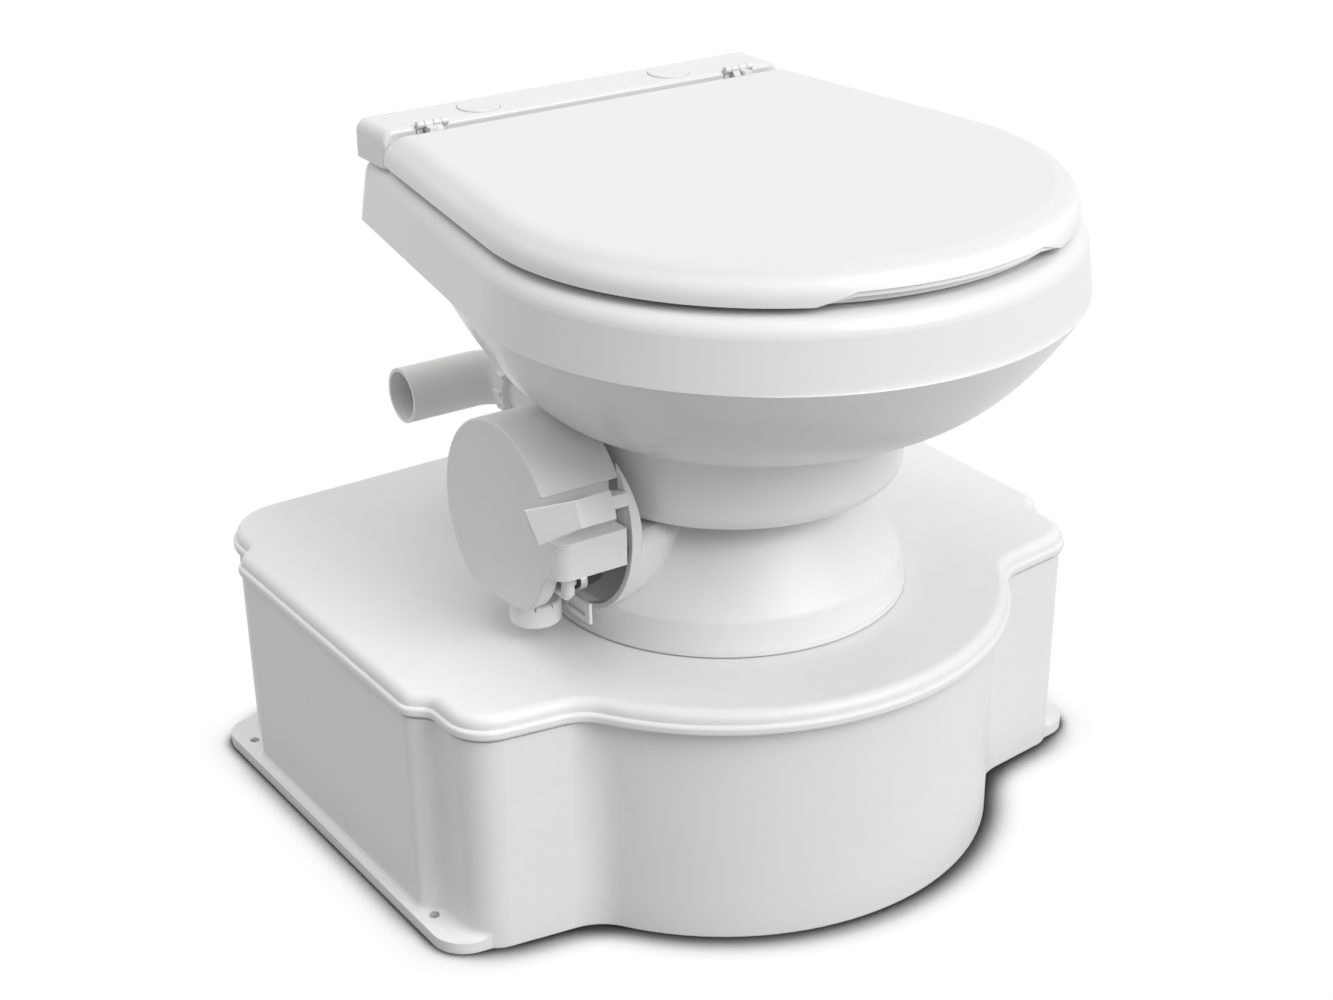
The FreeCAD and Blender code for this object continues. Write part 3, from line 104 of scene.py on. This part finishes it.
# The sealant round the riser's foot on the deck, in metres.
RISER_FOOT = (-0.052, 0.150, 0.1812)
RISER_FLANGE = 0.0272
BEAD_THICK = 0.0009
BEAD_STEPS = 120
BEAD_SIDES = 14

# Colours of the finishes, linear.
SHELL_WHITE = (0.81, 0.81, 0.81)
BOWL_WHITE = (0.82, 0.82, 0.815)
# The lid's top colour is darkened as a painted shade, and its skirt colour is lightened as a painted light.
LID_TOP_PAINTED_SHADE = (0.69, 0.69, 0.685)
LID_SKIRT_PAINTED_LIGHT = (0.92, 0.92, 0.915)
FITTING_WHITE = (0.79, 0.79, 0.785)
PIPE_WHITE = (0.86, 0.86, 0.85)
RUBBER_BLACK = (0.028, 0.029, 0.031)
RUBBER_GREY = (0.45, 0.45, 0.44)
STEEL_GREY = (0.60, 0.60, 0.59)
DUST_GREY = (0.52, 0.50, 0.46)

# Heights between which a polished side's tone turns into the top's, and where dust ends, in metres; on the
# lid that turn goes from a painted light on the skirt to a painted shade on the top.
BOWL_TURN = (0.40, 0.47)
LID_PAINTED_LIGHT_TURN = (0.4885, 0.4965)
DUST_TOP = 0.03

# Depths of relief in the finishes, in metres.
WAVE_DEPTH = 0.0009
PEBBLE_DEPTH = 0.00003
RIPPLE_DEPTH = 0.00006
PIPE_LINE_DEPTH = 0.00003
RUBBER_GRAIN_DEPTH = 0.00005
TURNING_DEPTH = 0.000012

# Noise from 0 to 1 changes from one tone to the other between these two levels.
TONE_LOW = 0.3
TONE_HIGH = 0.7

COAT_ROUGHNESS = 0.12
EDGE_SAMPLES = 6


class Value:
    """A shader socket that takes part in Python arithmetic; each operation adds one Math node."""

    def __init__(self, finish, socket):
        self.finish = finish
        self.socket = socket

    def __add__(self, other):
        return self.finish.math("ADD", self, other)

    def __sub__(self, other):
        return self.finish.math("SUBTRACT", self, other)

    def __rsub__(self, other):
        return self.finish.math("SUBTRACT", other, self)

    def __mul__(self, other):
        return self.finish.math("MULTIPLY", self, other)

    __radd__ = __add__
    __rmul__ = __mul__


class Finish:
    """The node tree of a material or world under construction, read in object coordinates."""

    def __init__(self, owner):
        owner.use_nodes = True
        self.owner = owner
        self.tree = owner.node_tree
        self.tree.nodes.clear()

    def node(self, kind, settings, inputs, output=0):
        """Adds a node, sets it up, fills or links its inputs, and gives one of its outputs as a Value."""
        made = self.tree.nodes.new(kind)
        for key, setting in settings.items():
            setattr(made, key, setting)
        for key, given in inputs.items():
            if isinstance(given, Value):
                self.tree.links.new(given.socket, made.inputs[key])
            else:
                made.inputs[key].default_value = given
        return Value(self, made.outputs[output]) if made.outputs else None

    def math(self, operation, first, second):
        return self.node("ShaderNodeMath", {"operation": operation}, {0: first, 1: second})

    def place(self):
        """The point in object coordinates, in metres."""
        return self.node("ShaderNodeTexCoord", {}, {}, "Object")

    def axis(self, letter):
        """One coordinate of the point."""
        return self.node("ShaderNodeSeparateXYZ", {}, {0: self.place()}, letter)

    def stretched(self, factors):
        """The point with each coordinate multiplied by a factor of its own."""
        inputs = {0: self.place(), 1: factors}
        return self.node("ShaderNodeVectorMath", {"operation": "MULTIPLY"}, inputs)

    def noise(self, per_metre, detail=2.0, rough=0.5, factors=(1.0, 1.0, 1.0)):
        """Smooth noise from 0 to 1 with that many features in a metre."""
        inputs = {
            "Vector": self.stretched(factors),
            "Scale": per_metre,
            "Detail": detail,
            "Roughness": rough,
        }
        return self.node("ShaderNodeTexNoise", {}, inputs)

    def ramp(self, amount, low, high):
        """Goes smoothly from 0 to 1 as amount goes from low to high."""
        inputs = {"Value": amount, "From Min": low, "From Max": high}
        return self.node("ShaderNodeMapRange", {"interpolation_type": "SMOOTHSTEP"}, inputs)

    def tone(self, amount):
        """A noise drawn out to the full way between two tones."""
        return self.ramp(amount, TONE_LOW, TONE_HIGH)

    def mix(self, amount, first, second):
        """Colour between first and second."""
        inputs = {0: amount, 6: paint(first), 7: paint(second)}
        return self.node("ShaderNodeMix", {"data_type": "RGBA"}, inputs, 2)

    def soft_edge(self, radius):
        """The surface's normal with its edges rounded over by that radius."""
        return self.node("ShaderNodeBevel", {"samples": EDGE_SAMPLES}, {"Radius": radius})

    def bump(self, height, depth, normal=None):
        """A normal that follows a height of 0 to 1 over that depth in metres."""
        inputs = {"Strength": 1.0, "Distance": depth, "Height": height}
        if normal is not None:
            inputs["Normal"] = normal
        return self.node("ShaderNodeBump", {}, inputs)

    def on_show(self):
        """1 for what the camera sees, straight, mirrored or through glass, and 0 for light on its way."""
        kinds = ("Is Camera Ray", "Is Glossy Ray", "Is Transmission Ray")
        straight, mirrored, through = (self.node("ShaderNodeLightPath", {}, {}, kind) for kind in kinds)
        return self.math("MINIMUM", straight + mirrored + through, 1.0)

    def close(self, inputs):
        """Ends the material in one principled shader."""
        shader = self.node("ShaderNodeBsdfPrincipled", {}, inputs)
        self.node("ShaderNodeOutputMaterial", {}, {"Surface": shader})
        return self.owner


def new_finish(name):
    return Finish(bpy.data.materials.new(name))


def paint(colour):
    """A colour of three numbers with its alpha, or a Value as it is."""
    return colour if isinstance(colour, Value) else (*colour, 1.0)


def shade(colour, factor):
    return tuple(part * factor for part in colour)


def satin_moulding(name, white, roughness, edge):
    """Moulded plastic: slow drifts of tone and level, a fine pebbled grain, and dust along the floor."""
    finish = new_finish(name)
    cloud = finish.noise(7.0, detail=3.0)
    mottle = finish.noise(90.0, detail=4.0, rough=0.6)
    pebble = finish.noise(1500.0, detail=2.0, rough=0.55)
    dust = (1 - finish.ramp(finish.axis("Z"), 0.0, DUST_TOP)) * finish.ramp(mottle, 0.35, 0.7)
    colour = finish.mix(finish.tone(cloud * 0.7 + mottle * 0.3), shade(white, 0.965), white)
    colour = finish.mix(dust * 0.10, colour, DUST_GREY)
    normal = finish.bump(cloud, WAVE_DEPTH, finish.soft_edge(edge))
    return finish.close({
        "Base Color": colour,
        "Roughness": roughness + 0.10 * mottle + 0.05 * dust,
        "Normal": finish.bump(pebble, PEBBLE_DEPTH, normal),
    })


def glossy_moulding(name, top_white_painted_shade, side_white_painted_light, turn, roughness, coat):
    """Polished plastic: a tone for its top and one for its sides, faintly rippled under a clear skin. Where
    the two differ, as on the lid, the darker top is a painted shade and the lighter sides are a painted
    light.
    """
    finish = new_finish(name)
    cloud = finish.noise(5.0, detail=2.0)
    mottle = finish.noise(30.0, detail=2.0)
    ripple = finish.noise(45.0, detail=1.0, rough=0.4)
    # By height, the sides get the painted light and the top gets the painted shade; where both tones are
    # equal, as on the bowl, nothing is painted.
    painted_light_mask = finish.ramp(finish.axis("Z"), *turn)
    colour = finish.mix(painted_light_mask, side_white_painted_light, top_white_painted_shade)
    colour = finish.mix(finish.tone(cloud) * 0.5, colour, shade(top_white_painted_shade, 0.98))
    return finish.close({
        "Base Color": colour,
        "Roughness": roughness + 0.05 * mottle,
        "Coat Weight": coat,
        "Coat Roughness": COAT_ROUGHNESS,
        "Normal": finish.bump(ripple, RIPPLE_DEPTH),
    })


def drawn_pipe(name, white, edge):
    """Extruded pipe: fine lines along its length, a creamy drift of tone and a dull skin."""
    finish = new_finish(name)
    cloud = finish.noise(11.0, detail=3.0)
    lines = finish.noise(900.0, detail=2.0, factors=(0.015, 1.0, 1.0))
    mottle = finish.noise(120.0, detail=3.0)
    return finish.close({
        "Base Color": finish.mix(finish.tone(cloud), shade(white, 0.95), white),
        "Roughness": 0.34 + 0.12 * mottle,
        "Normal": finish.bump(lines, PIPE_LINE_DEPTH, finish.soft_edge(edge)),
    })


def soft_rubber(name, tint, edge):
    """Moulded rubber: matt, finely grained, with a faint bloom on it."""
    finish = new_finish(name)
    grain = finish.noise(1900.0, detail=3.0, rough=0.6)
    bloom = finish.noise(45.0, detail=4.0, rough=0.6)
    return finish.close({
        "Base Color": finish.mix(finish.ramp(bloom, 0.5, 0.8) * 0.35, tint, shade(tint, 1.7)),
        "Roughness": 0.62 + 0.18 * bloom,
        "Normal": finish.bump(grain, RUBBER_GRAIN_DEPTH, finish.soft_edge(edge)),
    })


def turned_steel(name, tint, edge):
    """Stainless steel: fine turning lines round the upright, and a drift in its tone."""
    finish = new_finish(name)
    lines = finish.noise(2600.0, detail=2.0, factors=(0.06, 0.06, 1.0))
    drift = finish.noise(70.0, detail=3.0)
    return finish.close({
        "Base Color": finish.mix(finish.tone(drift), shade(tint, 0.9), tint),
        "Metallic": 1.0,
        "Roughness": 0.24 + 0.16 * lines,
        "Normal": finish.bump(lines, TURNING_DEPTH, finish.soft_edge(edge)),
    })


finishes = {
    "shell": satin_moulding("shell_moulding", SHELL_WHITE, roughness=0.36, edge=0.0012),
    "bowl": glossy_moulding("bowl_skin", BOWL_WHITE, BOWL_WHITE, BOWL_TURN, roughness=0.28, coat=0.35),
    # The lid's finish carries a painted shade on its top and a painted light on its skirt.
    "lid": glossy_moulding("lid_skin_painted_light", LID_TOP_PAINTED_SHADE, LID_SKIRT_PAINTED_LIGHT, LID_PAINTED_LIGHT_TURN, roughness=0.28, coat=0.30),
    "fitting": satin_moulding("fitting_moulding", FITTING_WHITE, roughness=0.40, edge=0.0007),
    "pipe": drawn_pipe("drawn_pipe", PIPE_WHITE, edge=0.0006),
    "rubber": soft_rubber("black_rubber", RUBBER_BLACK, edge=0.0005),
    "pale_rubber": soft_rubber("grey_rubber", RUBBER_GREY, edge=0.0005),
    "steel": turned_steel("turned_steel", STEEL_GREY, edge=0.0003),
}


def closed_surface(rows, poles=None):
    """Points, four-sided and three-sided faces of rings of points, each ring closed on itself.

    Rings have the shape (ring, step, 3). Each pole closes the end ring next to it with a fan of three-sided
    faces. With no poles the last ring joins the first.
    """
    rings, steps = rows.shape[:2]
    number = np.arange(rings * steps).reshape(rings, steps)
    if poles is None:
        number = np.vstack([number, number[:1]])
    after = np.roll(number, -1, axis=1)
    points = rows.reshape(-1, 3)
    bands = np.stack([number[:-1], after[:-1], after[1:], number[1:]], axis=-1).reshape(-1, 4)
    fans = np.empty((0, 3), int)
    if poles is not None:
        first = np.full(steps, rings * steps)
        last = first + 1
        points = np.vstack([points, poles])
        first_fan = np.stack([after[0], number[0], first], axis=-1)
        last_fan = np.stack([number[-1], after[-1], last], axis=-1)
        fans = np.vstack([first_fan, last_fan])
    return points, bands, fans


def make_piece(name, surfaces, body, slot):
    """One smooth piece on a body from several closed surfaces, facing outwards, with a slot's finish."""
    points, bands, fans = zip(*surfaces)
    starts = np.cumsum([0] + [len(spots) for spots in points[:-1]])
    bands = np.vstack([start + band for start, band in zip(starts, bands)])
    fans = np.vstack([start + fan for start, fan in zip(starts, fans)])
    mesh = bpy.data.meshes.new(name)
    mesh.from_pydata(np.vstack(points).tolist(), [], bands.tolist() + fans.tolist())
    shape = bmesh.new()
    shape.from_mesh(mesh)
    bmesh.ops.recalc_face_normals(shape, faces=shape.faces)
    shape.to_mesh(mesh)
    shape.free()
    mesh.polygons.foreach_set("use_smooth", np.ones(len(mesh.polygons), bool))
    mesh.materials.append(finishes[slot])
    piece = bpy.data.objects.new(name, mesh)
    bpy.context.scene.collection.objects.link(piece)
    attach(piece, body)
    return piece


def pan_screw(seat, way):
    """A pan-head screw: a profile of radius and height turned about its axis, with a cross sunk in its head.

    The head's top falls with the fourth power of the radius. The cross is deepest on its axis, and its depth
    goes to nothing with the distance from the nearer arm and from the middle.
    """
    out = np.linspace(0.04, 0.97, HEAD_RINGS)
    rim_radius = SCREW_HEAD * np.array([1.0, 1.0, 0.98])
    rim_height = SCREW_RISE * np.array([0.5, 0.05, 0.0])
    shank_radius = SCREW_SHANK * np.array([1.0, 1.0, 0.95])
    shank_height = SCREW_LENGTH * np.array([0.0, -1.0, -1.0])
    radius = np.concatenate([SCREW_HEAD * out, rim_radius, shank_radius])[:, None]
    height = np.concatenate([SCREW_RISE * (1 - HEAD_FALL * out ** 4), rim_height, shank_height])[:, None]
    turn = np.linspace(0, 2 * math.pi, SCREW_STEPS, endpoint=False)
    across = radius * np.cos(turn)
    along = radius * np.sin(turn)
    arm = np.clip(1 - np.minimum(abs(across), abs(along)) / CROSS_WIDTH, 0, 1)
    reach = np.clip(CROSS_FADE - radius / (SCREW_HEAD * CROSS_SPAN), 0, 1)
    depth = np.where(height > SCREW_RISE * HEAD_TOP, CROSS_DEPTH * np.sqrt(arm) * reach, 0)
    local = np.stack([across, along, height - depth], axis=-1)
    ends = np.array([[0, 0, SCREW_RISE - CROSS_DEPTH], [0, 0, -SCREW_LENGTH]])
    across_way = np.array((1.0, 0.0, 0.0))
    along_way = np.cross(across_way, way)
    axes = np.stack([across_way, along_way, way])
    return closed_surface(local @ axes + seat, ends @ axes + seat)


def sealant_bead(centre, radius, thick):
    """A bead of sealant round a pipe: a small circle carried round a large one.

    The small circle's radius swells and thins along the way, by waves of five and of eleven to a turn.
    """
    turn = np.linspace(0, 2 * math.pi, BEAD_STEPS, endpoint=False)[:, None]
    about = np.linspace(0, 2 * math.pi, BEAD_SIDES, endpoint=False)[None, :]
    fat = thick * (1 + 0.12 * np.sin(5 * turn + 0.6) + 0.08 * np.sin(11 * turn))
    far = radius + fat * np.cos(about)
    bead = np.stack([far * np.cos(turn), far * np.sin(turn), fat * np.sin(about)], axis=-1)
    return closed_surface(bead + centre)


def add_fixings():
    """Cross-head screws that hold the pedal cover, and sealant round the riser's foot."""
    shaft = np.array((SCREW_X, 0.0, SHAFT_Z))
    angles = np.radians(SCREW_ANGLES)
    ways = [np.array((0.0, -math.cos(angle), math.sin(angle))) for angle in angles]
    screws = [pan_screw(shaft + DRUM_RADIUS * way, way) for way in ways]
    heads = make_piece("cover_screw_heads", screws, "base", "steel")
    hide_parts("cover_screws")
    foot = sealant_bead(np.array(RISER_FOOT), RISER_FLANGE, BEAD_THICK)
    make_piece("riser_sealant", [foot], "base", "pale_rubber")


def dress_solids():
    """Gives each solid the finish of its material slot."""
    for part in frame["record"]["subparts"]:
        for place in nodes[part["node"]].material_slots:
            place.material = finishes[part["material_slot"]]


def heading(turn, rise):
    """The way towards a place turned from the front to the right, and raised above the floor, in degrees."""
    turn, rise = math.radians(turn), math.radians(rise)
    return Vector((math.sin(turn) * math.cos(rise), -math.cos(turn) * math.cos(rise), math.sin(rise)))


def make_floor():
    """A wide white floor that darkens where something stands close over it, and lights the object as grey."""
    corners = FLOOR_HALF * np.array([[-1, -1, 0], [1, -1, 0], [1, 1, 0], [-1, 1, 0]])
    mesh = bpy.data.meshes.new("floor")
    mesh.from_pydata(corners.tolist(), [], [(0, 1, 2, 3)])
    floor = bpy.data.objects.new("floor", mesh)
    bpy.context.scene.collection.objects.link(floor)
    finish = new_finish("pale_floor")
    reach = {"Distance": SHADE_REACH}
    openness = finish.node("ShaderNodeAmbientOcclusion", {"samples": SHADE_SAMPLES}, reach, "AO")
    light = SHADE_LEVEL + (1 - SHADE_LEVEL) * finish.ramp(openness, SHADE_DARK, SHADE_GONE)
    shown = finish.node("ShaderNodeEmission", {}, {"Strength": light})
    lit = finish.node("ShaderNodeBsdfDiffuse", {}, {"Color": paint(FLOOR_GREY)})
    both = finish.node("ShaderNodeMixShader", {}, {0: finish.on_show(), 1: lit, 2: shown})
    finish.node("ShaderNodeOutputMaterial", {}, {"Surface": both})
    mesh.materials.append(finish.owner)


def light_room():
    """A room, shown as white, that lights the object evenly and through soft windows, and a broad lamp."""
    world = bpy.data.worlds.new("soft_room")
    bpy.context.scene.world = world
    room = Finish(world)
    way = room.node("ShaderNodeTexCoord", {}, {}, "Generated")
    level = ROOM_LEVEL
    for turn, rise, strength in WINDOWS:
        ways = {0: way, 1: heading(turn, rise)}
        facing = room.node("ShaderNodeVectorMath", {"operation": "DOT_PRODUCT"}, ways, 1)
        level = level + strength * room.math("POWER", room.math("MAXIMUM", facing, 0.0), WINDOW_FOCUS)
    shown = room.on_show()
    light = shown + (1 - shown) * level
    back = room.node("ShaderNodeBackground", {}, {"Color": paint(ROOM_WHITE), "Strength": light})
    room.node("ShaderNodeOutputWorld", {}, {"Surface": back})
    lamp = bpy.data.lights.new("key_lamp", "SUN")
    lamp.energy = KEY_STRENGTH
    lamp.angle = KEY_ANGLE
    key = bpy.data.objects.new("key_lamp", lamp)
    key.rotation_euler = heading(KEY_TURN, KEY_RISE).to_track_quat("Z", "Y").to_euler()
    bpy.context.scene.collection.objects.link(key)


def place_camera():
    """Stands the camera where the photograph was taken from."""
    lens = bpy.data.cameras.new("camera")
    lens.sensor_width = SENSOR_WIDTH
    lens.lens = FOCAL_PIXELS / IMAGE_WIDTH * SENSOR_WIDTH
    lens.shift_x = (IMAGE_WIDTH / 2 - AXIS_PIXEL[0]) / IMAGE_WIDTH
    lens.shift_y = (AXIS_PIXEL[1] - IMAGE_HEIGHT / 2) / IMAGE_WIDTH
    camera = bpy.data.objects.new("camera", lens)
    camera.location = CAMERA_PLACE
    camera.rotation_euler = (-heading(CAMERA_TURN, CAMERA_RISE)).to_track_quat("-Z", "Y").to_euler()
    bpy.context.scene.collection.objects.link(camera)
    bpy.context.scene.camera = camera


place_camera()
dress_solids()
add_fixings()
make_floor()
light_room()
bpy.context.scene.view_settings.view_transform = "Standard"
